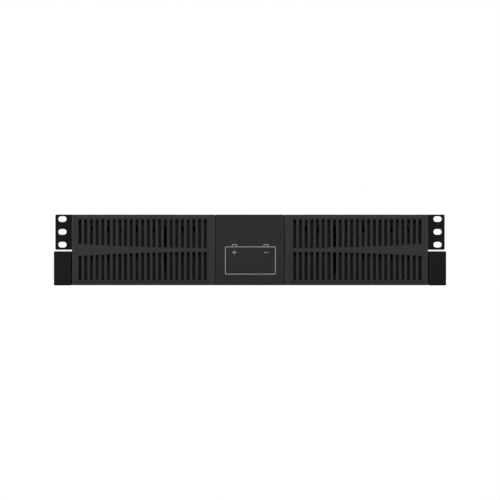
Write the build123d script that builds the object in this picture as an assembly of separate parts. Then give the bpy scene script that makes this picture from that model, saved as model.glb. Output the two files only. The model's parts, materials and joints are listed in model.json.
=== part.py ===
from build123d import *
import math
import os

# Two-unit rack battery pack, in millimetres.
# +X points right seen from the front, +Y to the rear, +Z up.
# The origin is the middle of the bottom of the whole pack.

# Rack standard
rack_width = 482.6
rack_slot_edge_distance = 8.75
rack_slot_pitch = 15.875
first_slot_rise = 6.35
rack_slot_length = 10.3
rack_slot_width = 7.0
rack_slot_count = 3

# Body
ear_overhang = 22.3
chassis_height = 86.5
sheet = 1.2
bend_radius = 2.0
flange_reach = 12.0

# Bezel of three mouldings
bezel_depth = 28.0
bezel_height = 86.9
bezel_lift = 0.35
bezel_wall = 2.5
bezel_front_wall = 3.0
bezel_corner_radius = 1.0
bezel_edge_radius = 0.6
moulding_gap = 0.3
centre_width = 84.8

# Slots and waist band of the two grilles
slot_count = 23
slot_width = 3.9
slot_draft = 0.5
slot_inner_margin = 12.3
slot_outer_margin = 10.0
slot_top_margin = 6.0
slot_bottom_margin = 6.0
waist_inner_height = 5.0
waist_outer_height = 15.0
field_recess = 0.6
field_outer_margin = 4.1
field_inner_margin = 6.0
field_top_margin = 4.8
field_bottom_margin = 2.8
field_bottom_bevel = 2.3

# Snap hooks of the mouldings
hook_width = 10.0
hook_thickness = 2.0
hook_drop = 3.0
hook_root = 10.0
hook_reach = 7.0
hook_barb = 1.2
hook_lead = 3.0
hook_play = 0.3
grille_hook_inset = 28.2
centre_hook_spread = 50.0

# Rack ears
ear_thickness = 2.0
ear_bend_radius = 3.0
ear_leg_length = 60.0
ear_leg_margin = 2.5
ear_flange_height = 43.7
ear_corner_radius = 1.5
ear_tab_inset = 1.0

# Pull handles
handle_height = 42.1
handle_gap = 1.8
handle_side_gap = 1.0
handle_front = 4.0
handle_web = 4.0
handle_foot = 5.0
handle_lip = 10.0
handle_lip_thickness = 3.0
handle_corner_radius = 1.5
handle_edge_radius = 0.6
handle_inner_radius = 2.5
handle_screw_spread = 22.0

# Screws
screw_clearance = 0.1
large_shank_radius = 2.0
large_head_radius = 3.6
large_head_depth = 1.6
small_shank_radius = 1.5
small_head_radius = 2.7
small_head_depth = 1.1
pan_head_radius = 3.6
pan_head_height = 2.4
small_pan_head_radius = 2.8
small_pan_head_height = 2.0
ear_screw_inset = 15.0
ear_screw_pitch = 33.0
ear_screw_height = 18.0
ear_screw_rise = 50.0
handle_screw_length = 6.0
cover_screw_inset = 7.0
cover_screw_side_inset = 39.0
cover_screw_length = 3.0
cover_side_screw_height = 7.0
base_screw_length = 2.4
screw_end_gap = 1.0

# Front plate vents
vent_width = 6.0
vent_height = 26.0
vent_columns = 8
vent_row_rise = 34.0
vent_side_margin = 25.2

# Sealed battery blocks, laid on their sides
block_length = 151.0
block_width = 65.0
block_corner_radius = 2.5
block_lid_depth = 14.0
lid_groove = 0.6
block_cap_width = 30.0
block_cap_length = 100.0
block_cap_height = 0.8
tab_reach = 6.0
tab_width = 6.35
tab_thickness = 0.8
tab_end_distance = 12.0
tab_side_distance = 10.0

# Battery trays, the gap for wiring between their blocks, and the foam pads over the blocks
wiring_gap = 19.8
tray_clearance = 0.5
tray_wall_height = 8.0
tray_front_gap = 2.0
block_clearance = 0.2
row_gap = 3.0
pad_width = 60.0
pad_length = 90.0

# Receptacles and leads
receptacle_length = 6.5
receptacle_width = 8.6
receptacle_thickness = 3.4
receptacle_stand = 0.5
lead_radius = 1.75
link_run = 15.0
connector_length = 22.0
connector_width = 24.0
connector_gap = 4.0
connector_edge = 1.5
lead_bend_radius = 9.0
lead_end_straight = 1.0
lead_lane_gap = 5.9

# Fuse
fuse_x = -10.0
fuse_holder_length = 62.0
fuse_holder_depth = 20.0
fuse_holder_base = 5.0
fuse_holder_cheek = 8.0
fuse_holder_height = 20.0
fuse_radius = 5.5
fuse_cap_radius = 6.0
fuse_cap_length = 9.0

# Rear sockets
socket_x = 52.0
socket_low_height = 30.0
socket_pitch = 32.0
socket_flange_width = 62.0
socket_flange_height = 26.0
socket_flange_thickness = 3.0
socket_body_width = 44.0
socket_body_height = 20.0
socket_body_depth = 18.0
socket_wall = 3.0
socket_corner_radius = 3.0
socket_screw_spread = 53.0
contact_width = 7.0
contact_thickness = 2.5
contact_spread = 24.0
contact_inner_reach = 7.0
contact_mouth_depth = 7.0

# Earth stud and rear vents
stud_radius = 2.5
stud_reach = 12.0
stud_head_radius = 5.0
stud_head_height = 2.0
washer_radius = 5.0
washer_height = 1.0
nut_flats = 8.0
nut_height = 4.0
stud_side_distance = 25.8
stud_height = 18.0
rear_vent_width = 5.0
rear_vent_height = 34.0
rear_vent_pitch = 11.0
rear_vent_count = 11
rear_vent_side_distance = 115.8

# Harness clips
clip_size = 8.0
clip_play = 0.1

# Sizes worked out from the sizes above, in the order that the pieces stack
body_width = rack_width - 2 * ear_overhang
rack_slot_span = rack_width - 2 * rack_slot_edge_distance
block_gap = bend_radius + block_clearance
tray_depth = 2 * (block_gap + block_length) + row_gap
inner_lead_run = lead_bend_radius + lead_end_straight
fuse_lane = inner_lead_run + fuse_holder_depth / 2 + lead_lane_gap
rear_bay = connector_gap + 2 * connector_length + fuse_lane + contact_inner_reach / 2 + socket_body_depth
chassis_depth = flange_reach + tray_front_gap + tray_depth + rear_bay + sheet
overall_depth = bezel_depth + chassis_depth + stud_reach

# Places worked out from the sizes above
front_y = -overall_depth / 2
ear_y = front_y + bezel_depth
rear_y = ear_y + chassis_depth
side_x = body_width / 2
cover_x = side_x - ear_thickness
inner_x = cover_x - sheet
floor_z = sheet
cover_z = chassis_height - sheet
bezel_mid_z = bezel_lift + bezel_height / 2
bezel_top_z = bezel_lift + bezel_height
ear_x = rack_width / 2
unit_z = handle_height + handle_gap
ear_top_z = unit_z + ear_flange_height
grille_inner_x = centre_width / 2 + moulding_gap
grille_mid_x = (grille_inner_x + side_x) / 2
grille_width = side_x - grille_inner_x
first_slot_x = grille_inner_x + slot_inner_margin
last_slot_x = side_x - slot_outer_margin
slot_pitch = (last_slot_x - first_slot_x) / (slot_count - 1)
grille_hook_spread = grille_width - 2 * grille_hook_inset
vent_pitch = (grille_width - 2 * vent_side_margin) / (vent_columns - 1)
cover_screw_x = side_x - cover_screw_side_inset
stud_x = stud_side_distance - inner_x
rear_vent_x = rear_vent_side_distance - inner_x
rear_inner_y = rear_y - sheet
plate_back_y = ear_y + sheet
tray_floor_z = floor_z + sheet
fold_clear_x = inner_x - bend_radius
tray_outer_x = fold_clear_x - tray_clearance
tray_inner_x = sheet / 2 + tray_clearance
tray_width = tray_outer_x - tray_inner_x
tray_front_y = ear_y + flange_reach + tray_front_gap
block_height = (tray_width - 2 * block_gap - wiring_gap) / 2
tray_back_y = tray_front_y + tray_depth
tray_shift = tray_outer_x + tray_inner_x
first_row_y = tray_front_y + block_gap
second_row_y = first_row_y + block_length + row_gap
block_top_z = tray_floor_z + block_width
outer_case_x = -tray_outer_x + block_gap + block_height
inner_case_x = -tray_inner_x - block_gap - block_height
low_tab_z = tray_floor_z + tab_side_distance
high_tab_z = block_top_z - tab_side_distance
front_tab_y = first_row_y + block_length - tab_end_distance
rear_tab_y = second_row_y + tab_end_distance
outer_plug_x = outer_case_x + receptacle_stand + receptacle_length / 2
inner_plug_x = inner_case_x - receptacle_stand - receptacle_length / 2
middle_lead_x = (outer_case_x + inner_case_x) / 2
connector_front_y = tray_back_y + connector_gap
connector_joint_y = connector_front_y + connector_length
connector_back_y = connector_joint_y + connector_length
connector_mid_x = (outer_plug_x + middle_lead_x) / 2
contact_front_y = rear_inner_y - socket_body_depth - contact_inner_reach
return_lead_y = contact_front_y + contact_inner_reach / 2
series_lead_y = connector_back_y + inner_lead_run


def block(low, high):
    """A rectangular solid between two opposite corners."""
    size = [high[i] - low[i] for i in range(3)]
    middle = [(high[i] + low[i]) / 2 for i in range(3)]
    return Pos(*middle) * Box(*size)


def across_y(outline, low_y, high_y):
    """Extrude an outline drawn in X and Z from one Y to another."""
    plane = Plane(origin=(0, high_y, 0), x_dir=(1, 0, 0), z_dir=(0, -1, 0))
    return extrude(plane * outline, amount=high_y - low_y)


def across_x(outline, low_x, high_x):
    """Extrude an outline drawn in Y and Z from one X to another."""
    plane = Plane(origin=(low_x, 0, 0), x_dir=(0, 1, 0), z_dir=(1, 0, 0))
    return extrude(plane * outline, amount=high_x - low_x)


def across_z(outline, low_z, high_z):
    """Extrude an outline drawn in X and Y from one Z to another."""
    return extrude(Pos(0, 0, low_z) * outline, amount=high_z - low_z)


def polygon(points):
    """A flat face with straight sides."""
    return make_face(Polyline(*points, close=True))


def sheet_section(points, thickness, radius):
    """The section of a folded sheet, with its material to the left of the path."""
    with BuildSketch() as section:
        with BuildLine():
            FilletPolyline(*points, radius=radius)
            offset(amount=thickness, side=Side.LEFT)
        make_face()
    return section.sketch


def mirror_x(part):
    """The same part on the other side of the pack."""
    return mirror(part, about=Plane.YZ)


def right_tray_copy(part):
    """The same part in the right tray, which is the left one moved across."""
    return Pos(tray_shift, 0, 0) * part


def group(parts):
    """Separate solids kept together in one node."""
    solids = []
    for part in parts:
        solids.extend(part.solids())
    return Compound(children=solids)


def placed(part, point, direction):
    """Put a part built along +Z at a point, with its +Z along a direction."""
    return Plane(origin=point, z_dir=direction).location * part


def countersunk_screw(shank, head, head_depth, length, play=0.0):
    """A flat-headed screw with its face at Z = 0, or its hole where the shank has play."""
    cone_depth = head_depth * (head - shank - play) / (head - shank)
    profile = polygon([
        (0, 0),
        (head, 0),
        (shank + play, -cone_depth),
        (shank + play, -length),
        (0, -length),
    ])
    return revolve(Plane.XZ * profile, axis=Axis.Z)


def pan_screw(shank, head, head_height, length):
    """A pan-headed screw that seats at Z = 0."""
    dome = Pos(0, 0, head_height / 2) * Cylinder(head, head_height)
    dome = chamfer(dome.edges().sort_by(Axis.Z)[-1], head_height / 3)
    return dome + Pos(0, 0, -length / 2) * Cylinder(shank, length)


def small_flat_screw(length, play=0.0):
    """The small flat-headed screw of the sheet metal."""
    return countersunk_screw(small_shank_radius, small_head_radius, small_head_depth, length, play)


def large_flat_screw(length, play=0.0):
    """The larger flat-headed screw of the ears."""
    return countersunk_screw(large_shank_radius, large_head_radius, large_head_depth, length, play)


def slot_outline(width, height):
    """An upright slot with round ends."""
    return Rot(0, 0, 90) * SlotOverall(height, width)


# Bezel mouldings

def moulding_shell(mid_x, width):
    """An open-backed box moulding with softened corners and edges."""
    outline = Pos(mid_x, bezel_mid_z) * RectangleRounded(width, bezel_height, bezel_corner_radius)
    body = across_y(outline, front_y, ear_y)
    front_edges = body.faces().sort_by(Axis.Y)[0].edges()
    body = fillet(front_edges, bezel_edge_radius)
    cavity = Pos(mid_x, bezel_mid_z) * Rectangle(width - 2 * bezel_wall, bezel_height - 2 * bezel_wall)
    return body - across_y(cavity, front_y + bezel_front_wall, ear_y)


def snap_hook(mid_x, upper):
    """A cantilever hook that grows from a bezel wall and catches behind the front plate."""
    wall_z = bezel_height / 2 - bezel_wall
    outer_z = wall_z - hook_drop
    inner_z = outer_z - hook_thickness
    catch_y = plate_back_y + hook_play
    side = polygon([
        (ear_y - hook_root, wall_z + bezel_wall / 2),
        (ear_y - hook_root, inner_z),
        (ear_y + hook_reach, inner_z),
        (ear_y + hook_reach, outer_z),
        (ear_y + hook_reach - hook_lead, outer_z + hook_barb),
        (catch_y, outer_z + hook_barb),
        (catch_y, outer_z),
        (ear_y - hook_root / 2, outer_z),
        (ear_y - hook_root / 2, wall_z + bezel_wall / 2),
    ])
    hook = across_x(side, mid_x - hook_width / 2, mid_x + hook_width / 2)
    if not upper:
        hook = mirror(hook, about=Plane.XY)
    return Pos(0, 0, bezel_mid_z) * hook


def hooks(mid_x, spread):
    """Four hooks, two at the top wall and two at the bottom wall."""
    result = []
    for x in (mid_x - spread / 2, mid_x + spread / 2):
        for upper in (True, False):
            result.append(snap_hook(x, upper))
    return result


def hook_windows():
    """Cutters for the windows that the hooks catch in."""
    window = Rectangle(hook_width + 4 * hook_play, hook_thickness + 2 * hook_play)
    window_z = bezel_height / 2 - bezel_wall - hook_drop - hook_thickness / 2
    spots = []
    for mid_x, spread in (
        (grille_mid_x, grille_hook_spread),
        (-grille_mid_x, grille_hook_spread),
        (0, centre_hook_spread),
    ):
        for x in (mid_x - spread / 2, mid_x + spread / 2):
            spots.append((x, bezel_mid_z + window_z))
            spots.append((x, bezel_mid_z - window_z))
    return [Pos(*spot) * window for spot in spots]


def waist_outline():
    """The solid band between the slot rows, straight near the centre and flared outwards."""
    run = last_slot_x - first_slot_x
    rise = (waist_outer_height - waist_inner_height) / 2
    arc_radius = (run ** 2 + rise ** 2) / (2 * rise)
    reach = side_x - first_slot_x
    inner_half = waist_inner_height / 2
    outer_half = inner_half + arc_radius - math.sqrt(arc_radius ** 2 - reach ** 2)
    with BuildSketch() as band:
        with BuildLine():
            top = Line((grille_inner_x, inner_half), (first_slot_x, inner_half))
            flare = TangentArc(top @ 1, (side_x, outer_half), tangent=(1, 0))
            Line(flare @ 1, (side_x, -outer_half))
            lower = TangentArc((first_slot_x, -inner_half), (side_x, -outer_half), tangent=(1, 0))
            Line(lower @ 0, (grille_inner_x, -inner_half))
            Line((grille_inner_x, -inner_half), (grille_inner_x, inner_half))
        make_face()
    return Pos(0, bezel_mid_z) * band.sketch


def slot_prisms():
    """One drafted upright cutter for each column, the full height of the field."""
    back_y = front_y + bezel_front_wall
    low_z = bezel_lift + slot_bottom_margin
    high_z = bezel_top_z - slot_top_margin
    half = slot_width / 2
    section = polygon([
        (-half, front_y),
        (half, front_y),
        (half, back_y),
        (-half + slot_draft, back_y),
    ])
    cutter = across_z(section, low_z, high_z)
    return [Pos(first_slot_x + i * slot_pitch, 0, 0) * cutter for i in range(slot_count)]


def right_grille():
    """The right grille moulding with its recessed fields, slots, waist band and hooks."""
    body = moulding_shell(grille_mid_x, grille_width)
    back_y = front_y + bezel_front_wall
    band = across_y(waist_outline(), front_y, back_y)
    low_x = grille_inner_x + field_inner_margin
    high_x = side_x - field_outer_margin
    low_z = bezel_lift + field_bottom_margin
    high_z = bezel_top_z - field_top_margin
    floor_y = front_y + field_recess
    field = block((low_x, front_y, low_z + field_bottom_bevel), (high_x, floor_y, high_z))
    bevel = polygon([
        (front_y, low_z),
        (front_y, low_z + field_bottom_bevel),
        (floor_y, low_z + field_bottom_bevel),
    ])
    cutter = field + across_x(bevel, low_x, high_x)
    for prism in slot_prisms():
        cutter += prism
    body -= cutter - band
    for hook in hooks(grille_mid_x, grille_hook_spread):
        body += hook
    return body


def centre_panel():
    """The blank square moulding in the middle of the bezel."""
    body = moulding_shell(0, centre_width)
    for hook in hooks(0, centre_hook_spread):
        body += hook
    return body


# Sheet metal

def cover_screw_places():
    """Where the top screws of the cover stand, at the front, the rear and the partition."""
    front = ear_y + cover_screw_inset
    rear = rear_y - cover_screw_inset
    places = []
    for x in (-cover_screw_x, 0, cover_screw_x):
        places.append((x, front))
        places.append((x, rear))
    for y in (first_row_y + block_length / 2, second_row_y + block_length / 2):
        places.append((flange_reach / 2, y))
    return places


def side_screw_places():
    """Where the screws through the cover's sides stand along its length."""
    third = chassis_depth / 3
    return [ear_y + third, ear_y + 2 * third, rear_y - cover_screw_inset - flange_reach]


def base_screw_places():
    """Where screws go up through the bottom, into the front plate, the trays and the fuse holder."""
    places = [(x, ear_y + cover_screw_inset) for x in (-cover_screw_x, 0, cover_screw_x)]
    for shift in (0, tray_shift):
        for y in (first_row_y, second_row_y):
            places.append((middle_lead_x + shift, y + block_length / 2))
    for offset_x in (-fuse_holder_length / 3, fuse_holder_length / 3):
        places.append((fuse_x + offset_x, series_lead_y))
    return places


def sheet_screws(length=cover_screw_length, play=0.0):
    """All small flat-headed screws of the cover, or their holes."""
    screw = small_flat_screw(length, play)
    result = [placed(screw, (x, y, chassis_height), (0, 0, 1)) for x, y in cover_screw_places()]
    for y in side_screw_places():
        for side in (-1, 1):
            point = (side * cover_x, y, cover_side_screw_height)
            result.append(placed(screw, point, (side, 0, 0)))
    return result


def base_screws(length=base_screw_length, play=0.0):
    """All small flat-headed screws of the bottom, or their holes."""
    screw = small_flat_screw(length, play)
    return [placed(screw, (x, y, 0), (0, 0, -1)) for x, y in base_screw_places()]


def cover_screw_holes():
    """The holes of the cover's screws, deeper than the screws are long."""
    return sheet_screws(cover_screw_length + screw_end_gap, screw_clearance)


def base_screw_holes():
    """The holes of the screws of the bottom, deeper than the screws are long."""
    return base_screws(base_screw_length + screw_end_gap, screw_clearance)


def ear_screws(length, play=0.0):
    """The screws that hold the ears to the sides of the cover, or their holes."""
    screw = large_flat_screw(length, play)
    result = []
    for side in (-1, 1):
        for column in range(2):
            for row in range(2):
                y = ear_y + ear_screw_inset + column * ear_screw_pitch
                z = ear_screw_height + row * ear_screw_rise
                result.append(placed(screw, (side * side_x, y, z), (side, 0, 0)))
    return result


def socket_heights():
    """The heights of the two rear sockets."""
    return [socket_low_height, socket_low_height + socket_pitch]


def socket_screw_places():
    """Where the screws of the rear sockets stand."""
    places = []
    for z in socket_heights():
        for offset_x in (-socket_screw_spread / 2, socket_screw_spread / 2):
            places.append((socket_x + offset_x, z))
    return places


def screw_hole(radius, x, z):
    """A round outline for a hole in the rear wall."""
    return Pos(x, z) * Circle(radius)


def rear_cutouts():
    """Outlines cut through the rear wall: sockets, their screws, the stud and the vents."""
    cutouts = []
    for z in socket_heights():
        body = Rectangle(socket_body_width, socket_body_height)
        cutouts.append(Pos(socket_x, z) * body)
    for x, z in socket_screw_places():
        cutouts.append(screw_hole(small_shank_radius + screw_clearance, x, z))
    cutouts.append(screw_hole(stud_radius + screw_clearance, stud_x, stud_height))
    for i in range(rear_vent_count):
        x = rear_vent_x + (i - (rear_vent_count - 1) / 2) * rear_vent_pitch
        cutouts.append(Pos(x, chassis_height / 2) * slot_outline(rear_vent_width, rear_vent_height))
    return cutouts


def base_pan():
    """The folded base: bottom, low side flanges, and rear wall with its top flange."""
    spine = sheet_section(
        [(ear_y, 0), (rear_y, 0), (rear_y, cover_z), (rear_y - flange_reach, cover_z)],
        sheet,
        bend_radius,
    )
    spine_x = inner_x - bend_radius + sheet
    body = across_x(spine, -spine_x, spine_x)
    trough = sheet_section(
        [(-inner_x, flange_reach), (-inner_x, 0), (inner_x, 0), (inner_x, flange_reach)],
        sheet,
        bend_radius,
    )
    relief_y = rear_y - 2 * bend_radius
    corner = block((-cover_x, ear_y, 0), (cover_x, relief_y, bend_radius))
    body = (body - corner) + across_y(trough, ear_y, relief_y)
    for cutout in rear_cutouts():
        body -= across_y(cutout, rear_inner_y - sheet, rear_y + sheet)
    for hole in cover_screw_holes() + base_screw_holes():
        body -= hole
    return body


def cover():
    """The wrap-around cover: top and both sides folded from one sheet."""
    section = sheet_section(
        [(cover_x, 0), (cover_x, chassis_height), (-cover_x, chassis_height), (-cover_x, 0)],
        sheet,
        bend_radius,
    )
    body = across_y(section, ear_y, rear_y)
    for hole in cover_screw_holes():
        body -= hole
    for hole in ear_screws(ear_thickness + 2 * sheet, screw_clearance):
        body -= hole
    return body


def front_plate():
    """The folded plate behind the bezel, with vents and the windows for the hooks."""
    section = sheet_section(
        [
            (ear_y + flange_reach, cover_z),
            (ear_y, cover_z),
            (ear_y, floor_z),
            (ear_y + flange_reach, floor_z),
        ],
        sheet,
        bend_radius,
    )
    body = across_x(section, -fold_clear_x, fold_clear_x)
    openings = hook_windows()
    for side in (-1, 1):
        for column in range(vent_columns):
            x = side * grille_mid_x + (column - (vent_columns - 1) / 2) * vent_pitch
            for row in (-1, 1):
                z = bezel_mid_z + row * vent_row_rise / 2
                openings.append(Pos(x, z) * slot_outline(vent_width, vent_height))
    for opening in openings:
        body -= across_y(opening, ear_y - sheet, plate_back_y + sheet)
    for hole in cover_screw_holes() + base_screw_holes():
        body -= hole
    return body


def centre_partition():
    """The upright sheet between the trays, with a flange under the cover."""
    section = sheet_section(
        [(flange_reach, cover_z), (-sheet / 2, cover_z), (-sheet / 2, floor_z)],
        sheet,
        bend_radius,
    )
    body = across_y(section, tray_front_y, tray_back_y)
    for hole in cover_screw_holes():
        body -= hole
    return body


def right_ear():
    """The right rack ear: a leg along the cover, a slotted flange and a tab for the handle."""
    section = sheet_section(
        [(cover_x, ear_y + ear_leg_length), (cover_x, ear_y), (ear_x, ear_y)],
        ear_thickness,
        ear_bend_radius,
    )
    body = across_z(section, 0, ear_top_z)
    bend_x = cover_x + ear_bend_radius
    margins = [(-sheet, ear_leg_margin), (chassis_height - ear_leg_margin, ear_top_z + sheet)]
    for low_z, high_z in margins:
        body -= block((cover_x - sheet, ear_y - sheet, low_z), (bend_x, rear_y, high_z))
    keep_flange = flange_plate(bend_x, ear_x, unit_z, ear_top_z)
    keep_tab = flange_plate(bend_x, ear_x - ear_tab_inset, ear_tab_inset, handle_height - ear_tab_inset)
    leg = body & block((cover_x - sheet, ear_y - sheet, 0), (bend_x, rear_y, ear_top_z))
    body = leg + (body & keep_flange) + (body & keep_tab)
    for i in range(rack_slot_count):
        z = unit_z + first_slot_rise + i * rack_slot_pitch
        outline = Pos(rack_slot_span / 2, z) * SlotOverall(rack_slot_length, rack_slot_width)
        body -= across_y(outline, ear_y - sheet, ear_y + 2 * ear_thickness)
    for hole in ear_screws(2 * ear_thickness, screw_clearance):
        body -= hole
    for x, z in handle_screw_places():
        hole = screw_hole(large_shank_radius + screw_clearance, x, z)
        body -= across_y(hole, ear_y - sheet, ear_y + 2 * ear_thickness)
    return body


def flange_plate(low_x, high_x, low_z, high_z):
    """A thick block with two rounded outer corners, to trim the flange of an ear."""
    mid_x = (low_x + high_x) / 2
    mid_z = (low_z + high_z) / 2
    with BuildSketch() as outline:
        with Locations((mid_x, mid_z)):
            Rectangle(high_x - low_x, high_z - low_z)
        fillet(outline.vertices().group_by(Axis.X)[-1], ear_corner_radius)
    return across_y(outline.sketch, ear_y - sheet, ear_y + 2 * ear_thickness)


# Pull handles

def handle_screw_places():
    """Where the screws of the right handle stand in its foot."""
    x = (side_x + ear_x) / 2
    mid_z = handle_height / 2
    return [(x, mid_z - handle_screw_spread / 2), (x, mid_z + handle_screw_spread / 2)]


def right_handle():
    """The right finger pull: a C section with a foot on the ear and a lip behind its front."""
    low_x = side_x + handle_side_gap
    inner_face_x = low_x + handle_web
    lip_x = ear_x - handle_lip_thickness
    front_back_y = front_y + handle_front
    foot_y = ear_y - handle_foot
    foot_x = ear_x - ear_tab_inset
    with BuildSketch() as section:
        with BuildLine():
            Polyline(
                (low_x, front_y),
                (ear_x, front_y),
                (ear_x, front_y + handle_lip),
                (lip_x, front_y + handle_lip),
                (lip_x, front_back_y),
                (inner_face_x, front_back_y),
                (inner_face_x, foot_y),
                (foot_x, foot_y),
                (foot_x, ear_y),
                (low_x, ear_y),
                close=True,
            )
        make_face()
        inner = section.vertices().filter_by(lambda v: is_inner_corner(v, lip_x, inner_face_x))
        fillet(inner, handle_inner_radius)
        outer = section.vertices().filter_by(lambda v: is_at(v, ear_x, front_y))
        fillet(outer, handle_edge_radius)
        lip_ends = section.vertices().filter_by(lambda v: v.Y == front_y + handle_lip)
        fillet(lip_ends, handle_lip_thickness * 0.4)
    body = across_z(section.sketch, 0, handle_height)
    width = ear_x - low_x
    window = RectangleRounded(width, handle_height, handle_corner_radius)
    face = Pos((ear_x + low_x) / 2, handle_height / 2) * window
    body &= across_y(face, front_y, ear_y)
    for x, z in handle_screw_places():
        hole = screw_hole(large_shank_radius + screw_clearance, x, z)
        body -= across_y(hole, foot_y, ear_y)
    return body


def is_at(vertex, x, y):
    """Whether a sketch vertex lies at a point."""
    return abs(vertex.X - x) < 1e-6 and abs(vertex.Y - y) < 1e-6


def is_inner_corner(vertex, lip_x, inner_face_x):
    """Whether a sketch vertex is one of the handle's three inner corners."""
    foot_y = ear_y - handle_foot
    front_back_y = front_y + handle_front
    corners = [(lip_x, front_back_y), (inner_face_x, front_back_y), (inner_face_x, foot_y)]
    return any(is_at(vertex, x, y) for x, y in corners)


def handle_screws():
    """The pan-headed screws that come through the tabs of the ears into the handles."""
    screw = pan_screw(
        large_shank_radius,
        pan_head_radius,
        pan_head_height,
        ear_thickness + handle_screw_length - screw_clearance,
    )
    result = []
    for x, z in handle_screw_places():
        for side in (-1, 1):
            result.append(placed(screw, (side * x, ear_y + ear_thickness, z), (0, 1, 0)))
    return result


# Batteries and trays

def battery_block():
    """One sealed block with its height along +X, its lid groove and its vent cap strip."""
    outline = Pos(block_length / 2, block_width / 2) * RectangleRounded(
        block_length, block_width, block_corner_radius
    )
    body = across_x(outline, 0, block_height)
    inner_outline = Pos(block_length / 2, block_width / 2) * RectangleRounded(
        block_length - 2 * lid_groove, block_width - 2 * lid_groove, block_corner_radius
    )
    seam_x = block_height - block_lid_depth
    seam = across_x(outline, seam_x, seam_x + 2 * lid_groove)
    body -= seam - across_x(inner_outline, seam_x, seam_x + 2 * lid_groove)
    cap_low = (block_height, block_length / 2 - block_cap_length / 2, block_width / 2 - block_cap_width / 2)
    cap_high = (
        block_height + block_cap_height,
        block_length / 2 + block_cap_length / 2 - tab_end_distance,
        block_width / 2 + block_cap_width / 2,
    )
    return body + block(cap_low, cap_high)


def tray_batteries():
    """The four blocks of the left tray: outer front, inner front, outer rear, inner rear."""
    base = battery_block()
    turned = Rot(0, 180, 0) * base
    outer_x = outer_case_x - block_height
    inner_x0 = inner_case_x + block_height
    outer_front = Pos(outer_x, first_row_y, tray_floor_z) * base
    inner_front = Pos(inner_x0, first_row_y, block_top_z) * turned
    outer_rear = Pos(outer_x, second_row_y + block_length, block_top_z) * (Rot(180, 0, 0) * base)
    inner_rear = Pos(inner_x0, second_row_y + block_length, tray_floor_z) * (Rot(0, 0, 180) * base)
    return [outer_front, inner_front, outer_rear, inner_rear]


def tab_places():
    """Each tab of the left tray: its case face, the way it points, and its Y and Z."""
    places = []
    for case_x, way in ((outer_case_x, 1), (inner_case_x, -1)):
        for y in (front_tab_y, rear_tab_y):
            for z in (low_tab_z, high_tab_z):
                places.append((case_x, way, y, z))
    return places


def tray_tabs():
    """The flat blade terminals of the left tray's blocks."""
    tabs = []
    for case_x, way, y, z in tab_places():
        middle = (case_x + way * tab_reach / 2, y, z)
        tabs.append(Pos(*middle) * Box(tab_reach, tab_width, tab_thickness))
    return tabs


def tray_receptacles():
    """The insulated receptacles pushed on the tabs of the left tray."""
    result = []
    for case_x, way, y, z in tab_places():
        mid_x = case_x + way * (receptacle_stand + receptacle_length / 2)
        shell = Pos(mid_x, y, z) * Box(receptacle_length, receptacle_width, receptacle_thickness)
        shell = chamfer(shell.edges().filter_by(Axis.X), receptacle_thickness / 5)
        mouth_x = case_x + way * tab_reach / 2
        mouth = Pos(mouth_x, y, z) * Box(tab_reach, tab_width, tab_thickness)
        result.append(shell - mouth)
    return result


def tray():
    """The left battery tray: bottom with low walls on all four sides."""
    low_z = floor_z
    high_z = floor_z + tray_wall_height
    trough = sheet_section(
        [
            (-tray_outer_x, high_z),
            (-tray_outer_x, low_z),
            (-tray_inner_x, low_z),
            (-tray_inner_x, high_z),
        ],
        sheet,
        bend_radius,
    )
    ends = sheet_section(
        [
            (tray_front_y, high_z),
            (tray_front_y, low_z),
            (tray_back_y, low_z),
            (tray_back_y, high_z),
        ],
        sheet,
        bend_radius,
    )
    relief = 2 * bend_radius
    body = across_y(trough, tray_front_y + relief, tray_back_y - relief)
    body += across_x(ends, -tray_outer_x + relief, -tray_inner_x - relief)
    for hole in base_screw_holes():
        body -= hole
    return body


def tray_pads():
    """Foam pads between the blocks of the left tray and the cover."""
    result = []
    for mid_x in (outer_case_x - block_height / 2, inner_case_x + block_height / 2):
        for mid_y in (first_row_y + block_length / 2, second_row_y + block_length / 2):
            low = (mid_x - pad_width / 2, mid_y - pad_length / 2, block_top_z)
            high = (mid_x + pad_width / 2, mid_y + pad_length / 2, cover_z)
            result.append(block(low, high))
    return result


# Leads

def wire(points, radius):
    """A round insulated lead along straight runs joined by tangent arcs."""
    if len(points) == 2:
        path = Line(*points)
    else:
        path = FilletPolyline(*points, radius=radius)
    start = Vector(*points[1]) - Vector(*points[0])
    section = Plane(origin=points[0], z_dir=start) * Circle(lead_radius)
    return sweep(section, path=path)


def tray_links():
    """The three links between the blocks of the left tray."""
    result = []
    bend = abs(inner_plug_x - outer_plug_x) * 0.48
    face = receptacle_width / 2
    for y, way in ((front_tab_y, -1), (rear_tab_y, 1)):
        near_y = y + way * face
        far_y = near_y + way * link_run
        points = [
            (outer_plug_x, near_y, high_tab_z),
            (outer_plug_x, far_y, high_tab_z),
            (inner_plug_x, far_y, high_tab_z),
            (inner_plug_x, near_y, high_tab_z),
        ]
        result.append(wire(points, bend))
    low_points = [
        (inner_plug_x, front_tab_y + face, low_tab_z),
        (inner_plug_x, rear_tab_y - face, low_tab_z),
    ]
    result.append(wire(low_points, bend))
    return result


def tray_leads():
    """The two outgoing leads of the left tray, which end in its connector."""
    face = receptacle_width / 2
    bend = abs(middle_lead_x - outer_plug_x) * 0.48
    near_y = front_tab_y - face
    far_y = near_y - link_run / 2
    positive = wire(
        [
            (outer_plug_x, near_y, low_tab_z),
            (outer_plug_x, far_y, low_tab_z),
            (middle_lead_x, far_y, low_tab_z),
            (middle_lead_x, connector_front_y, low_tab_z),
        ],
        bend,
    )
    negative = wire(
        [
            (outer_plug_x, rear_tab_y + face, low_tab_z),
            (outer_plug_x, connector_front_y, low_tab_z),
        ],
        bend,
    )
    return [positive, negative]


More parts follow.
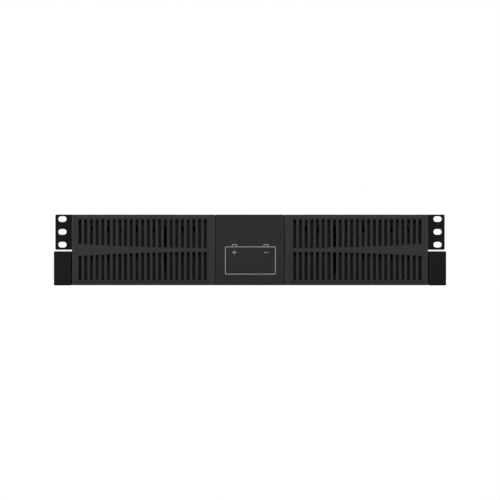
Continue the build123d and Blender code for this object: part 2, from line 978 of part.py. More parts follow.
def connector_half(low_y, high_y):
    """One moulded half of the left tray's connector, which stands on the bottom."""
    half_height = low_tab_z - floor_z
    outline = Pos(connector_mid_x, low_tab_z) * RectangleRounded(
        connector_width, 2 * half_height, connector_edge
    )
    body = across_y(outline, low_y, high_y)
    grip_width = connector_width / 2
    for i in range(3):
        y = low_y + (i + 1) * (high_y - low_y) / 4
        low = (connector_mid_x - grip_width / 2, y - connector_edge / 2, floor_z + 2 * half_height)
        high = (connector_mid_x + grip_width / 2, y + connector_edge / 2, low[2] + connector_edge)
        body += block(low, high)
    return body


def series_leads():
    """The two harness leads from the trays to the fuse."""
    left_end_x = fuse_x - fuse_holder_length / 2
    right_end_x = fuse_x + fuse_holder_length / 2
    left = wire(
        [
            (middle_lead_x, connector_back_y, low_tab_z),
            (middle_lead_x, series_lead_y, low_tab_z),
            (left_end_x, series_lead_y, low_tab_z),
        ],
        lead_bend_radius,
    )
    right_x = outer_plug_x + tray_shift
    right = wire(
        [
            (right_end_x, series_lead_y, low_tab_z),
            (right_x, series_lead_y, low_tab_z),
            (right_x, connector_back_y, low_tab_z),
        ],
        lead_bend_radius,
    )
    return [left, right]


def socket_lead(start_x, contact_x):
    """A harness lead from a connector to the underside of the lower socket's contact."""
    end_z = socket_low_height - contact_thickness / 2
    return wire(
        [
            (start_x, connector_back_y, low_tab_z),
            (start_x, return_lead_y, low_tab_z),
            (contact_x, return_lead_y, low_tab_z),
            (contact_x, return_lead_y, end_z),
        ],
        lead_bend_radius,
    )


def socket_links():
    """The short leads that put the two rear sockets in parallel."""
    result = []
    for side in (-1, 1):
        x = socket_x + side * contact_spread / 2
        points = [
            (x, return_lead_y, socket_low_height + contact_thickness / 2),
            (x, return_lead_y, socket_low_height + socket_pitch - contact_thickness / 2),
        ]
        result.append(wire(points, lead_bend_radius))
    return result


def harness_clips():
    """Saddles on the bottom that hold the long negative lead."""
    start_x = outer_plug_x + 2 * lead_bend_radius
    end_x = socket_x - contact_spread / 2 - 2 * lead_bend_radius
    result = []
    for i in range(3):
        x = start_x + (i + 0.5) * (end_x - start_x) / 3
        low = (x - clip_size / 2, return_lead_y - clip_size / 2, floor_z)
        high = (x + clip_size / 2, return_lead_y + clip_size / 2, low_tab_z + clip_size / 2)
        hole = Pos(return_lead_y, low_tab_z) * Circle(lead_radius + clip_play)
        result.append(block(low, high) - across_x(hole, low[0], high[0]))
    return result


# Fuse

def fuse_holder():
    """The moulded holder: a base with two cheeks that the fuse lies between."""
    low_x = fuse_x - fuse_holder_length / 2
    high_x = fuse_x + fuse_holder_length / 2
    base_z = floor_z + fuse_holder_base
    top_z = floor_z + fuse_holder_height
    side = polygon([
        (low_x, floor_z),
        (high_x, floor_z),
        (high_x, top_z),
        (high_x - fuse_holder_cheek, top_z),
        (high_x - fuse_holder_cheek, base_z),
        (low_x + fuse_holder_cheek, base_z),
        (low_x + fuse_holder_cheek, top_z),
        (low_x, top_z),
    ])
    low_y = series_lead_y - fuse_holder_depth / 2
    body = across_y(side, low_y, low_y + fuse_holder_depth)
    for hole in base_screw_holes():
        body -= hole
    return body


def fuse():
    """The fuse tube with its two end caps, between the cheeks of the holder."""
    clear = fuse_holder_length / 2 - fuse_holder_cheek
    mid_z = floor_z + fuse_holder_base + fuse_cap_radius
    barrel = Cylinder(fuse_radius, 2 * clear)
    for way in (-1, 1):
        barrel += Pos(0, 0, way * (clear - fuse_cap_length / 2)) * Cylinder(fuse_cap_radius, fuse_cap_length)
    return placed(barrel, (fuse_x, series_lead_y, mid_z), (1, 0, 0))


# Rear fittings

def rear_socket(z):
    """One panel socket: flange outside, body through the wall, and an open mouth."""
    flange_back_y = rear_y + socket_flange_thickness
    flange = Pos(socket_x, z) * RectangleRounded(
        socket_flange_width, socket_flange_height, socket_corner_radius
    )
    body = across_y(flange, rear_y, flange_back_y)
    shell = Pos(socket_x, z) * Rectangle(socket_body_width, socket_body_height)
    body += across_y(shell, rear_inner_y - socket_body_depth, flange_back_y)
    mouth = Pos(socket_x, z) * RectangleRounded(
        socket_body_width - 2 * socket_wall,
        socket_body_height - 2 * socket_wall,
        socket_corner_radius,
    )
    body -= across_y(mouth, rear_inner_y - socket_body_depth + socket_wall, flange_back_y)
    for x, hole_z in socket_screw_places():
        hole = screw_hole(small_shank_radius + screw_clearance, x, hole_z)
        body -= across_y(hole, rear_y, flange_back_y)
    body -= group(socket_contacts(z))
    return body


def socket_contacts(z):
    """The two blades of a socket, from the leads inside to short of the mouth."""
    far_y = rear_y + socket_flange_thickness - contact_mouth_depth
    result = []
    for side in (-1, 1):
        x = socket_x + side * contact_spread / 2
        low = (x - contact_width / 2, contact_front_y, z - contact_thickness / 2)
        high = (x + contact_width / 2, far_y, z + contact_thickness / 2)
        result.append(block(low, high))
    return result


def socket_screws():
    """The pan-headed screws of the rear sockets."""
    length = socket_flange_thickness + 2 * sheet
    screw = pan_screw(small_shank_radius, small_pan_head_radius, small_pan_head_height, length)
    y = rear_y + socket_flange_thickness
    return [placed(screw, (x, y, z), (0, 1, 0)) for x, z in socket_screw_places()]


def earth_stud():
    """The stud pressed into the rear wall, with its head inside."""
    length = stud_reach + sheet
    shank = Pos(0, 0, length / 2) * Cylinder(stud_radius, length)
    shank = chamfer(shank.edges().sort_by(Axis.Z)[-1], stud_radius / 4)
    head = Pos(0, 0, -stud_head_height / 2) * Cylinder(stud_head_radius, stud_head_height)
    return placed(shank + head, (stud_x, rear_inner_y, stud_height), (0, 1, 0))


def earth_washer():
    """The plain washer of the earth stud."""
    ring = Cylinder(washer_radius, washer_height)
    ring -= Cylinder(stud_radius + screw_clearance, washer_height)
    return placed(ring, (stud_x, rear_y + washer_height / 2, stud_height), (0, 1, 0))


def earth_nut():
    """The hexagon nut of the earth stud."""
    hexagon = RegularPolygon(nut_flats / 2, 6, major_radius=False)
    body = extrude(hexagon - Circle(stud_radius + screw_clearance), amount=nut_height)
    return placed(body, (stud_x, rear_y + washer_height, stud_height), (0, 1, 0))


def build_parts():
    """Every node of the pack, by name."""
    parts = {}
    grille = right_grille()
    parts["grille_right"] = grille
    parts["grille_left"] = mirror_x(grille)
    parts["centre_panel"] = centre_panel()
    parts["base_pan"] = base_pan()
    parts["cover"] = cover()
    parts["front_plate"] = front_plate()
    parts["centre_partition"] = centre_partition()
    ear = right_ear()
    parts["rack_ear_right"] = ear
    parts["rack_ear_left"] = mirror_x(ear)
    handle = right_handle()
    parts["pull_handle_right"] = handle
    parts["pull_handle_left"] = mirror_x(handle)
    parts["handle_screws"] = group(handle_screws())
    parts["ear_screws"] = group(ear_screws(ear_thickness + 2 * sheet - screw_clearance))
    parts["cover_screws"] = group(sheet_screws())
    parts["base_screws"] = group(base_screws())

    left_batteries = tray_batteries()
    batteries = left_batteries + [right_tray_copy(battery) for battery in left_batteries]
    for number, battery in enumerate(batteries, start=1):
        parts[f"battery_{number}"] = battery

    sides = {"left": lambda part: part, "right": right_tray_copy}
    tray_nodes = {
        "battery_tray": [tray()],
        "battery_tabs": tray_tabs(),
        "receptacles": tray_receptacles(),
        "battery_links": tray_links(),
        "tray_leads": tray_leads(),
        "foam_pads": tray_pads(),
        "tray_connector": [connector_half(connector_front_y, connector_joint_y)],
        "harness_connector": [connector_half(connector_joint_y, connector_back_y)],
    }
    for name, pieces in tray_nodes.items():
        for side, move in sides.items():
            parts[f"{name}_{side}"] = group([move(piece) for piece in pieces])

    series = series_leads()
    parts["series_lead_left"] = series[0]
    parts["series_lead_right"] = series[1]
    parts["negative_lead"] = socket_lead(outer_plug_x, socket_x - contact_spread / 2)
    parts["positive_lead"] = socket_lead(middle_lead_x + tray_shift, socket_x + contact_spread / 2)
    parts["socket_links"] = group(socket_links())
    parts["harness_clips"] = group(harness_clips())
    parts["fuse_holder"] = fuse_holder()
    parts["fuse"] = fuse()
    low_z, high_z = socket_heights()
    parts["rear_socket_lower"] = rear_socket(low_z)
    parts["rear_socket_upper"] = rear_socket(high_z)
    parts["socket_contacts"] = group(socket_contacts(low_z) + socket_contacts(high_z))
    parts["socket_screws"] = group(socket_screws())
    parts["earth_stud"] = earth_stud()
    parts["earth_washer"] = earth_washer()
    parts["earth_nut"] = earth_nut()
    return parts


os.makedirs("parts", exist_ok=True)
for node, shape in build_parts().items():
    export_step(shape, f"parts/{node}.step")
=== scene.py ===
import json
import math
import bmesh
import bpy
from mathutils import Matrix, Vector


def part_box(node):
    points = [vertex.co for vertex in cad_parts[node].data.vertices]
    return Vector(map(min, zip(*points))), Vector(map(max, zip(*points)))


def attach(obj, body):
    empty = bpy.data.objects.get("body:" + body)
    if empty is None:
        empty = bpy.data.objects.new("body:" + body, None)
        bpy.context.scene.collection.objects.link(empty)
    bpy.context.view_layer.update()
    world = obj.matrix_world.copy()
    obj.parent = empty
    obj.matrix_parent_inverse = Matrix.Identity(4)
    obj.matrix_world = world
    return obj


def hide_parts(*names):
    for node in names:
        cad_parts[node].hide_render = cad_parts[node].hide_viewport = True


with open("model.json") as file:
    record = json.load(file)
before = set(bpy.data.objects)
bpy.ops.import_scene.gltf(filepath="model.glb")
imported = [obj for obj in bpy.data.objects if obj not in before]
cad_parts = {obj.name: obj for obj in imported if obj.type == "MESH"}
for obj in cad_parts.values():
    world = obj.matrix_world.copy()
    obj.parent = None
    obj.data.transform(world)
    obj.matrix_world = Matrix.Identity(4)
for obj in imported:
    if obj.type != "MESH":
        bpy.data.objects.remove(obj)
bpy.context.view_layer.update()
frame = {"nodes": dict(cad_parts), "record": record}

MM = 0.001
BODY = "root"
NODES = frame["nodes"]

# The camera, from the photograph's framing: the view's width is measured at the front of the bezel
CAMERA_DISTANCE = 3.516
CAMERA_HEIGHT = 0.04365
CAMERA_RANGE = 50.0
SENSOR_WIDTH = 36.0
FRONT_VIEW_WIDTH = 0.6149

# The softboxes: name, place, what it is aimed at, width, height and power
FRONT_AIM = (0, -0.23, 0.04)
MIDDLE_AIM = (0, -0.15, 0.04)
SOFTBOXES = (
    ("front_left_softbox", (-1.2, -2.7, 0.26), FRONT_AIM, 1.1, 0.5, 6.0),
    ("front_right_softbox", (1.2, -2.7, 0.26), FRONT_AIM, 1.1, 0.5, 4.8),
    ("front_middle_softbox", (0, -3.3, 0.5), FRONT_AIM, 0.4, 0.2, 6.0),
    ("left_softbox", (-1.7, -0.15, 0.45), FRONT_AIM, 1.6, 0.8, 13),
    ("right_softbox", (1.7, -0.15, 0.45), FRONT_AIM, 1.6, 0.8, 8.5),
    ("top_softbox", (0, -0.9, 1.8), MIDDLE_AIM, 1.6, 1.0, 4.5),
    ("rear_softbox", (0.4, 2.4, 1.3), MIDDLE_AIM, 2.2, 1.3, 32),
)

# The world's grey fill, and how far towards the rear its white backdrop begins for gloss and glass
WORLD_FILL = 0.08
BACKDROP_EDGE = 0.5

# The floor's own grey, and what the camera sees of it near the pack
FLOOR_SIZE = 14.0
FLOOR_GREY = 0.80
FLOOR_ROUGHNESS = 0.9
FLOOR_SPECULAR = 0.1
FLOOR_SEEN = 0.60
FLOOR_LIFT = 0.84
SHADOW_REACH = 0.75

# The finishes: the part of a noise that is used, the swing of gloss, and the soft edges and grain
NOISE_LOW = 0.3
NOISE_HIGH = 0.7
PATCH_DETAIL = 3
GRAIN_DETAIL = 4
GLOSS_SWING = 0.06
EDGE_SAMPLES = 6
GRAIN_STRENGTH = 0.6

# The printed battery symbol, in millimetres on the centre panel
SYMBOL_X = 0.45
SYMBOL_LOW = 14.0
SYMBOL_HIGH = 47.55
SYMBOL_WIDTH = 61.6
SYMBOL_CORNER = 1.3
SYMBOL_LINE = 0.9
SIGN_SPREAD = 39.2
SIGN_HEIGHT = 40.6
SIGN_LENGTH = 5.35
TERMINAL_SPREAD = 38.9
TERMINAL_WIDTH = 5.35
TERMINAL_RISE = 2.85
TERMINAL_CORNER = 0.5
TERMINAL_LINE = 0.8
INK_THICKNESS = 0.04
ARC_STEPS = 6

# One finish for each material slot of the record, and one for the printed symbol. The levels are sRGB
# greys from 0 to 255, and the lengths are in metres.
FINISHES = {
    "bezel_plastic": dict(level=37, roughness=0.45, grain=0.0005, depth=0.00004),
    "centre_plastic": dict(level=32, roughness=0.55, grain=0.0004, depth=0.00003),
    "handle_plastic": dict(level=30, roughness=0.55, specular=0.15),
    "ear_paint": dict(level=32, roughness=0.55, specular=0.15, grain=0.0009, depth=0.00003),
    "chassis_paint": dict(level=26, roughness=0.50, specular=0.3, grain=0.0009, depth=0.00003),
    "zinc_steel": dict(level=170, roughness=0.35, metallic=1.0, grain=0.002),
    "black_screw": dict(level=30, roughness=0.35, metallic=0.6, edge=0.0001),
    "bright_screw": dict(level=190, roughness=0.28, metallic=1.0, edge=0.0001),
    "battery_case": dict(level=62, tint=(1, 1, 1.05), roughness=0.5),
    "tinned_tab": dict(level=190, tint=(1, 0.95, 0.8), roughness=0.3, metallic=1.0),
    "receptacle_vinyl": dict(level=150, tint=(1, 0.12, 0.10), roughness=0.4),
    "red_lead": dict(level=150, tint=(1, 0.08, 0.06), roughness=0.4),
    "black_lead": dict(level=35, roughness=0.4),
    "foam": dict(level=70, roughness=0.9, grain=0.0015, depth=0.0003),
    "connector_plastic": dict(level=110, roughness=0.45),
    "holder_plastic": dict(level=45, roughness=0.45),
    "fuse_body": dict(level=200, tint=(1, 0.97, 0.88), roughness=0.25),
    "socket_plastic": dict(level=36, roughness=0.42, grain=0.0005),
    "copper_contact": dict(level=190, tint=(1, 0.72, 0.5), roughness=0.25, metallic=1.0),
    "symbol_ink": dict(level=205, roughness=0.6, specular=0.3, edge=0.00001),
}

# Finding the solids and rings of a CAD node, in millimetres
WELD_DISTANCE = 0.01
END_BAND = 0.1
AXIS_BAND = 0.5
SHARP_ANGLE = math.radians(35)

# Cross recesses of the screws, as shares of the head's radius
RECESS_REACH = 0.52
RECESS_ARM = 0.16
RECESS_DEPTH = 0.45
RECESS_TAPER = 0.55
RECESS_TURN = math.radians(37)
HEAD_STEPS = 32

# Thread of the earth stud, in millimetres
THREAD_PITCH = 0.8
THREAD_DEPTH = 0.42
THREAD_ROWS = 8
THREAD_STEPS = 32


# Camera, light and floor

def linear(level):
    """The linear value of an sRGB level from 0 to 255."""
    share = level / 255
    if share <= 0.04045:
        return share / 12.92
    return ((share + 0.055) / 1.055) ** 2.4


def add_camera():
    """The camera of the photograph: level, in line with the middle of the front."""
    front_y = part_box("centre_panel")[0].y
    data = bpy.data.cameras.new("camera")
    data.sensor_width = SENSOR_WIDTH
    data.lens = SENSOR_WIDTH * CAMERA_DISTANCE / FRONT_VIEW_WIDTH
    data.clip_end = CAMERA_RANGE
    camera = bpy.data.objects.new("camera", data)
    camera.location = (0, front_y - CAMERA_DISTANCE, CAMERA_HEIGHT)
    camera.rotation_euler = (math.radians(90), 0, 0)
    bpy.context.scene.collection.objects.link(camera)
    bpy.context.scene.camera = camera


def add_softbox(name, place, target, width, height, power):
    """A rectangular lamp aimed at a point."""
    data = bpy.data.lights.new(name, "AREA")
    data.shape = "RECTANGLE"
    data.size = width
    data.size_y = height
    data.energy = power
    lamp = bpy.data.objects.new(name, data)
    lamp.location = place
    direction = Vector(target) - Vector(place)
    lamp.rotation_euler = direction.to_track_quat("-Z", "Y").to_euler()
    bpy.context.scene.collection.objects.link(lamp)


def greater_of(nodes, links, first, second):
    """The greater of two values."""
    chosen = nodes.new("ShaderNodeMath")
    chosen.operation = "MAXIMUM"
    links.new(first, chosen.inputs[0])
    links.new(second, chosen.inputs[1])
    return chosen.outputs[0]


def add_world():
    """A plain grey fill that the camera sees as white, and gloss and glass too towards the rear."""
    world = bpy.data.worlds.new("studio_world")
    bpy.context.scene.world = world
    world.use_nodes = True
    nodes = world.node_tree.nodes
    links = world.node_tree.links
    background = nodes["Background"]
    background.inputs["Color"].default_value = (WORLD_FILL, WORLD_FILL, WORLD_FILL, 1)
    white = nodes.new("ShaderNodeBackground")
    white.inputs["Color"].default_value = (1, 1, 1, 1)
    path = nodes.new("ShaderNodeLightPath")
    mirrored = greater_of(nodes, links, path.outputs["Is Glossy Ray"], path.outputs["Is Transmission Ray"])
    split = nodes.new("ShaderNodeSeparateXYZ")
    links.new(nodes.new("ShaderNodeTexCoord").outputs["Generated"], split.inputs[0])
    backdrop = nodes.new("ShaderNodeMapRange")
    backdrop.interpolation_type = "SMOOTHSTEP"
    backdrop.inputs["From Max"].default_value = BACKDROP_EDGE
    links.new(split.outputs["Y"], backdrop.inputs["Value"])
    behind = nodes.new("ShaderNodeMath")
    behind.operation = "MULTIPLY"
    links.new(mirrored, behind.inputs[0])
    links.new(backdrop.outputs["Result"], behind.inputs[1])
    mix = nodes.new("ShaderNodeMixShader")
    links.new(greater_of(nodes, links, path.outputs["Is Camera Ray"], behind.outputs[0]), mix.inputs[0])
    links.new(background.outputs[0], mix.inputs[1])
    links.new(white.outputs[0], mix.inputs[2])
    links.new(mix.outputs[0], nodes["World Output"].inputs["Surface"])


def floor_material():
    """A pale floor that the camera sees as white, apart from the object's shadow."""
    material = bpy.data.materials.new("floor_paper")
    material.use_nodes = True
    nodes = material.node_tree.nodes
    links = material.node_tree.links
    paper = nodes["Principled BSDF"]
    paper.inputs["Base Color"].default_value = (FLOOR_GREY, FLOOR_GREY, FLOOR_GREY, 1)
    paper.inputs["Roughness"].default_value = FLOOR_ROUGHNESS
    paper.inputs["Specular IOR Level"].default_value = FLOOR_SPECULAR
    seen = nodes.new("ShaderNodeBsdfDiffuse")
    seen.inputs["Color"].default_value = (FLOOR_SEEN, FLOOR_SEEN, FLOOR_SEEN, 1)
    lift = nodes.new("ShaderNodeEmission")
    lift.inputs["Strength"].default_value = FLOOR_LIFT
    both = nodes.new("ShaderNodeAddShader")
    links.new(seen.outputs[0], both.inputs[0])
    links.new(lift.outputs[0], both.inputs[1])
    white = nodes.new("ShaderNodeEmission")
    place = nodes.new("ShaderNodeTexCoord").outputs["Object"]
    reach = nodes.new("ShaderNodeVectorMath")
    reach.operation = "LENGTH"
    links.new(place, reach.inputs[0])
    fade = nodes.new("ShaderNodeMapRange")
    fade.interpolation_type = "SMOOTHSTEP"
    fade.inputs["From Min"].default_value = SHADOW_REACH / 2
    fade.inputs["From Max"].default_value = SHADOW_REACH
    links.new(reach.outputs["Value"], fade.inputs["Value"])
    paper_seen = nodes.new("ShaderNodeMixShader")
    links.new(fade.outputs["Result"], paper_seen.inputs[0])
    links.new(both.outputs[0], paper_seen.inputs[1])
    links.new(white.outputs[0], paper_seen.inputs[2])
    path = nodes.new("ShaderNodeLightPath")
    mix = nodes.new("ShaderNodeMixShader")
    links.new(path.outputs["Is Camera Ray"], mix.inputs[0])
    links.new(paper.outputs[0], mix.inputs[1])
    links.new(paper_seen.outputs[0], mix.inputs[2])
    links.new(mix.outputs[0], nodes["Material Output"].inputs["Surface"])
    return material


def add_floor():
    """The floor that the pack stands on."""
    half = FLOOR_SIZE / 2
    mesh = bpy.data.meshes.new("studio_floor")
    corners = [(-half, -half, 0), (half, -half, 0), (half, half, 0), (-half, half, 0)]
    mesh.from_pydata(corners, [], [(0, 1, 2, 3)])
    floor = bpy.data.objects.new("studio_floor", mesh)
    bpy.context.scene.collection.objects.link(floor)
    mesh.materials.append(floor_material())


# Materials

def noise(nodes, links, source, size, detail):
    """A noise texture with grains of about the given size in metres."""
    texture = nodes.new("ShaderNodeTexNoise")
    texture.inputs["Scale"].default_value = 1 / size
    texture.inputs["Detail"].default_value = detail
    links.new(source, texture.inputs["Vector"])
    return texture.outputs["Fac"]


def surface(name, level, tint=(1, 1, 1), roughness=0.5, specular=0.5, metallic=0.0, grain=0.0004,
            depth=0.00002, spread=0.06, edge=0.0003, patch=0.03):
    """A procedural finish: grain bump, slow drift of tone and gloss, and softened edges."""
    material = bpy.data.materials.new(name)
    material.use_nodes = True
    nodes = material.node_tree.nodes
    links = material.node_tree.links
    shader = nodes["Principled BSDF"]
    shader.inputs["Metallic"].default_value = metallic
    shader.inputs["Specular IOR Level"].default_value = specular
    place = nodes.new("ShaderNodeTexCoord").outputs["Object"]

    tone = nodes.new("ShaderNodeMapRange")
    links.new(noise(nodes, links, place, patch, PATCH_DETAIL), tone.inputs["Value"])
    tone.inputs["From Min"].default_value = NOISE_LOW
    tone.inputs["From Max"].default_value = NOISE_HIGH
    colours = nodes.new("ShaderNodeMix")
    colours.data_type = "RGBA"
    base = linear(level)
    low = [base * channel * (1 - spread) for channel in tint]
    high = [base * channel * (1 + spread) for channel in tint]
    colours.inputs["A"].default_value = (*low, 1)
    colours.inputs["B"].default_value = (*high, 1)
    links.new(tone.outputs["Result"], colours.inputs["Factor"])
    links.new(colours.outputs["Result"], shader.inputs["Base Color"])

    fine = noise(nodes, links, place, grain, GRAIN_DETAIL)
    gloss = nodes.new("ShaderNodeMapRange")
    gloss.inputs["From Min"].default_value = NOISE_LOW
    gloss.inputs["From Max"].default_value = NOISE_HIGH
    gloss.inputs["To Min"].default_value = roughness - GLOSS_SWING
    gloss.inputs["To Max"].default_value = roughness + GLOSS_SWING
    links.new(fine, gloss.inputs["Value"])
    links.new(gloss.outputs["Result"], shader.inputs["Roughness"])

    soft_edge = nodes.new("ShaderNodeBevel")
    soft_edge.samples = EDGE_SAMPLES
    soft_edge.inputs["Radius"].default_value = edge
    bump = nodes.new("ShaderNodeBump")
    bump.inputs["Strength"].default_value = GRAIN_STRENGTH
    bump.inputs["Distance"].default_value = depth
    links.new(fine, bump.inputs["Height"])
    links.new(soft_edge.outputs["Normal"], bump.inputs["Normal"])
    links.new(bump.outputs["Normal"], shader.inputs["Normal"])
    return material


def dress_nodes():
    """Give each CAD node the finish of its material slot."""
    for name, node in NODES.items():
        node.data.materials.clear()
        node.data.materials.append(MATERIALS[SLOTS[name]])


# Pieces added to the solids

def add_piece(name, mesh, material):
    """An object that rides on the body of the pack."""
    piece = bpy.data.objects.new(name, mesh)
    bpy.context.scene.collection.objects.link(piece)
    mesh.materials.append(MATERIALS[material])
    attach(piece, BODY)
    return piece


def rounded(corners, radius, closed):
    """A path in X and Z with its corners rounded, as a list of points."""
    count = len(corners)
    points = []
    for index, corner in enumerate(corners):
        if not closed and index in (0, count - 1):
            points.append(Vector(corner))
            continue
        middle = Vector(corner)
        before = (Vector(corners[index - 1]) - middle).normalized()
        after = (Vector(corners[(index + 1) % count]) - middle).normalized()
        centre = middle + radius * (before + after)
        for step in range(ARC_STEPS + 1):
            angle = math.radians(90) * step / ARC_STEPS
            points.append(centre - radius * (math.sin(angle) * before + math.cos(angle) * after))
    return points


def ribbon(shape, points, width, closed, face_y):
    """Add a printed line of even width along a path on a face that looks forwards."""
    count = len(points)
    rings = []
    for index, point in enumerate(points):
        before = points[index - 1] if closed or index else point
        after = points[(index + 1) % count] if closed or index < count - 1 else point
        along = (after - before).normalized()
        across = Vector((-along.y, along.x)) * width / 2
        ring = []
        for side, depth in ((1, 0), (1, INK_THICKNESS), (-1, INK_THICKNESS), (-1, 0)):
            spot = point + side * across
            ring.append(shape.verts.new((spot.x * MM, face_y - depth * MM, spot.y * MM)))
        rings.append(ring)
    last = count if closed else count - 1
    for index in range(last):
        here = rings[index]
        there = rings[(index + 1) % count]
        for corner in range(4):
            nearby = (corner + 1) % 4
            shape.faces.new((here[corner], here[nearby], there[nearby], there[corner]))
    if not closed:
        shape.faces.new(rings[0])
        shape.faces.new(list(reversed(rings[-1])))


def finish_mesh(shape, name):
    """A mesh from a bmesh, with its normals outwards."""
    bmesh.ops.recalc_face_normals(shape, faces=shape.faces)
    mesh = bpy.data.meshes.new(name)
    shape.to_mesh(mesh)
    shape.free()
    return mesh


def add_symbol():
    """The printed battery outline with its two terminals, plus and minus signs."""
    face_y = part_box("centre_panel")[0].y
    shape = bmesh.new()
    low_x = SYMBOL_X - SYMBOL_WIDTH / 2
    high_x = SYMBOL_X + SYMBOL_WIDTH / 2
    case = [(low_x, SYMBOL_LOW), (low_x, SYMBOL_HIGH), (high_x, SYMBOL_HIGH), (high_x, SYMBOL_LOW)]
    ribbon(shape, rounded(case, SYMBOL_CORNER, True), SYMBOL_LINE, True, face_y)
    base_z = SYMBOL_HIGH + SYMBOL_LINE / 2
    top_z = SYMBOL_HIGH + TERMINAL_RISE
    for side in (-1, 1):
        terminal_x = SYMBOL_X + side * TERMINAL_SPREAD / 2
        middle_x = SYMBOL_X + side * SIGN_SPREAD / 2
        near_x = terminal_x - TERMINAL_WIDTH / 2
        far_x = terminal_x + TERMINAL_WIDTH / 2
        terminal = [(near_x, base_z), (near_x, top_z), (far_x, top_z), (far_x, base_z)]
        ribbon(shape, rounded(terminal, TERMINAL_CORNER, False), TERMINAL_LINE, False, face_y)
        arm = SIGN_LENGTH / 2
        level = [Vector((middle_x - arm, SIGN_HEIGHT)), Vector((middle_x + arm, SIGN_HEIGHT))]
        ribbon(shape, level, SYMBOL_LINE, False, face_y)
    plus_x = SYMBOL_X - SIGN_SPREAD / 2
    half = SYMBOL_LINE / 2
    for way in (-1, 1):
        start = Vector((plus_x, SIGN_HEIGHT + way * half))
        end = Vector((plus_x, SIGN_HEIGHT + way * SIGN_LENGTH / 2))
        ribbon(shape, [start, end], SYMBOL_LINE, False, face_y)
    piece = add_piece("battery_symbol", finish_mesh(shape, "battery_symbol"), "symbol_ink")


def solids_of(name):
    """The corners of each separate solid in a CAD node."""
    node = NODES[name]
    shape = bmesh.new()
    shape.from_mesh(node.data)
    shape.transform(node.matrix_world)
    bmesh.ops.remove_doubles(shape, verts=shape.verts, dist=WELD_DISTANCE * MM)
    waiting = set(shape.verts)
    solids = []
    while waiting:
        found = []
        reached = [waiting.pop()]
        while reached:
            corner = reached.pop()
            found.append(corner.co.copy())
            for edge in corner.link_edges:
                other = edge.other_vert(corner)
                if other in waiting:
                    waiting.remove(other)
                    reached.append(other)
        solids.append(found)
    shape.free()
    return sorted(solids, key=lambda corners: tuple(round(value, 4) for value in centre_of(corners)))


def centre_of(corners):
    """The middle of the box round some points."""
    return Vector([(min(c[i] for c in corners) + max(c[i] for c in corners)) / 2 for i in range(3)])


def turned_form(corners):
    """The axis, the outer end and the rings of a turned solid, from its wide end inwards."""
    middle = centre_of(corners)
    spans = [max(c[i] for c in corners) - min(c[i] for c in corners) for i in range(3)]
    axis = max(range(3), key=lambda i: abs(3 * spans[i] - sum(spans)))
    sides = [i for i in range(3) if i != axis]
    ends = []
    for way in (-1, 1):
        end = middle[axis] + way * spans[axis] / 2
        near = [c for c in corners if abs(c[axis] - end) < END_BAND * MM]
        ends.append((max(math.hypot(*(c[i] - middle[i] for i in sides)) for c in near), way, end))
    wide, way, end = max(ends)
    rings = set()
    for corner in corners:
        radius = math.hypot(*(corner[i] - middle[i] for i in sides))
        if radius > AXIS_BAND * MM:
            rings.add((round(abs(corner[axis] - end) / MM, 1), round(radius / MM, 1)))
    outward = Vector((0, 0, 0))
    outward[axis] = way
    origin = middle.copy()
    origin[axis] = end
    return outward, origin, sorted(rings, key=lambda ring: (ring[0], -ring[1]))


def rounded_head(rings):
    """The rings of a screw with the chamfer of a pan head made round."""
    (top, narrow), (low, wide) = rings[:2]
    if wide <= narrow:
        return rings
    result = []
    for step in range(ARC_STEPS + 1):
        angle = math.radians(90) * step / ARC_STEPS
        depth = low + (top - low) * math.cos(angle)
        result.append((depth, narrow + (wide - narrow) * math.sin(angle)))
    return result + rings[2:]


def lathe(shape, rings, place, steps):
    """Rings of corners round +Z, joined by faces; the list of rings is returned."""
    loops = []
    for depth, radius in rings:
        loop = []
        for step in range(steps):
            angle = 2 * math.pi * step / steps
            spot = Vector((radius * math.cos(angle), radius * math.sin(angle), -depth)) * MM
            loop.append(shape.verts.new(place @ spot))
        loops.append(loop)
    for upper, lower in zip(loops, loops[1:]):
        join_loops(shape, upper, lower)
    return loops


def join_loops(shape, upper, lower):
    """A band of faces between two loops of as many corners."""
    count = len(upper)
    for index in range(count):
        nearby = (index + 1) % count
        shape.faces.new((upper[index], upper[nearby], lower[nearby], lower[index]))


def cross_loop(shape, place, radius, share, depth):
    """The twelve corners of a cross recess at a depth below the head's face."""
    reach = RECESS_REACH * radius * share
    arm = RECESS_ARM * radius * share
    outline = [(reach, -arm), (reach, arm), (arm, arm)]
    loop = []
    for quarter in range(4):
        turn = Matrix.Rotation(math.radians(90 * quarter), 4, "Z")
        for x, y in outline:
            loop.append(shape.verts.new(place @ turn @ (Vector((x, y, -depth)) * MM)))
    return loop


def close_loop(loop):
    """The edges round a loop of corners."""
    edges = []
    for first, second in zip(loop, loop[1:] + loop[:1]):
        edges.extend(edge for edge in first.link_edges if edge.other_vert(first) is second)
    return edges


def add_screw(shape, corners, turn):
    """One screw with a cross recess, in the form and place of its solid."""
    outward, origin, rings = turned_form(corners)
    place = Matrix.Translation(origin) @ outward.to_track_quat("Z", "Y").to_matrix().to_4x4()
    place = place @ Matrix.Rotation(turn, 4, "Z")
    rings = rounded_head(rings)
    loops = lathe(shape, rings, place, HEAD_STEPS)
    shape.faces.new(list(reversed(loops[-1])))
    top_radius = rings[0][1]
    mouth = cross_loop(shape, place, top_radius, 1.0, 0.0)
    bottom = cross_loop(shape, place, top_radius, RECESS_TAPER, RECESS_DEPTH * top_radius)
    join_loops(shape, mouth, bottom)
    shape.faces.new(bottom)
    rim = close_loop(loops[0]) + close_loop(mouth)
    bmesh.ops.triangle_fill(shape, use_beauty=True, edges=rim)


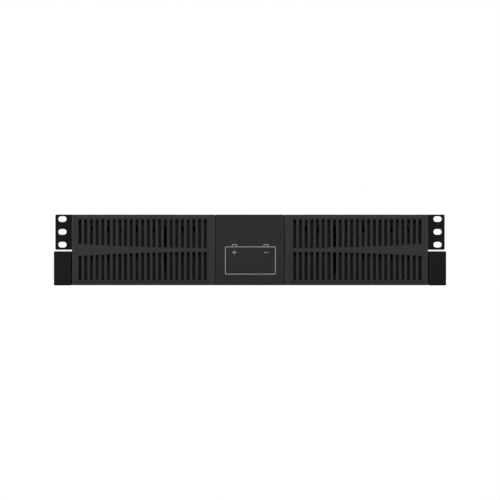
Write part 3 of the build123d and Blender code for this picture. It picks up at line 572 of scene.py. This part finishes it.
def add_screws(name):
    """All screws of a CAD node with their recesses, in place of the plain ones."""
    shape = bmesh.new()
    for index, corners in enumerate(solids_of(name)):
        add_screw(shape, corners, RECESS_TURN * index)
    slot = SLOTS[name]
    piece = add_piece(f"{name}_with_recesses", finish_mesh(shape, name), slot)
    smooth_by_angle(piece)
    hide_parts(name)


def smooth_by_angle(piece):
    """Smooth shading with the sharp edges kept."""
    mesh = piece.data
    mesh.shade_smooth()
    shape = bmesh.new()
    shape.from_mesh(mesh)
    for edge in shape.edges:
        edge.smooth = len(edge.link_faces) == 2 and edge.calc_face_angle() < SHARP_ANGLE
    shape.to_mesh(mesh)
    shape.free()


def add_stud():
    """The earth stud with its thread, in place of the plain one."""
    corners = solids_of("earth_stud")[0]
    outward, origin, rings = turned_form(corners)
    length = rings[-1][0]
    head_radius = rings[0][1]
    head_height = max(depth for depth, radius in rings if radius == head_radius)
    shank_radius = max(radius for depth, radius in rings if depth > head_height)
    tip_radius = rings[-1][1]
    wall = length - (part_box("earth_stud")[1].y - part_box("base_pan")[1].y) / MM
    place = Matrix.Translation(origin) @ outward.to_track_quat("Z", "Y").to_matrix().to_4x4()
    shape = bmesh.new()
    head = [(0, head_radius), (head_height, head_radius)]
    shank = [(head_height, shank_radius), (wall, shank_radius)]
    loops = lathe(shape, head + shank, place, THREAD_STEPS)
    shape.faces.new(loops[0])
    rows = math.ceil((length - wall) / THREAD_PITCH * THREAD_ROWS)
    last = loops[-1]
    for row in range(1, rows + 1):
        depth = wall + (length - wall) * row / rows
        limit = min(shank_radius, tip_radius + length - depth)
        loop = []
        for step in range(THREAD_STEPS):
            angle = 2 * math.pi * step / THREAD_STEPS
            phase = ((depth - wall) / THREAD_PITCH - step / THREAD_STEPS) % 1
            valley = THREAD_DEPTH * (1 - abs(2 * phase - 1))
            radius = min(limit, shank_radius - valley)
            spot = Vector((radius * math.cos(angle), radius * math.sin(angle), -depth)) * MM
            loop.append(shape.verts.new(place @ spot))
        join_loops(shape, last, loop)
        last = loop
    shape.faces.new(list(reversed(last)))
    slot = SLOTS["earth_stud"]
    piece = add_piece("earth_stud_with_thread", finish_mesh(shape, "earth_stud"), slot)
    smooth_by_angle(piece)
    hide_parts("earth_stud")


add_camera()
for softbox in SOFTBOXES:
    add_softbox(*softbox)
add_world()
add_floor()
MATERIALS = {name: surface(name, **finish) for name, finish in FINISHES.items()}
SLOTS = {part["node"]: part["material_slot"] for part in frame["record"]["subparts"]}
dress_nodes()
add_symbol()
for screws in ("cover_screws", "base_screws", "ear_screws", "handle_screws", "socket_screws"):
    add_screws(screws)
add_stud()

bpy.context.scene.view_settings.view_transform = "Standard"
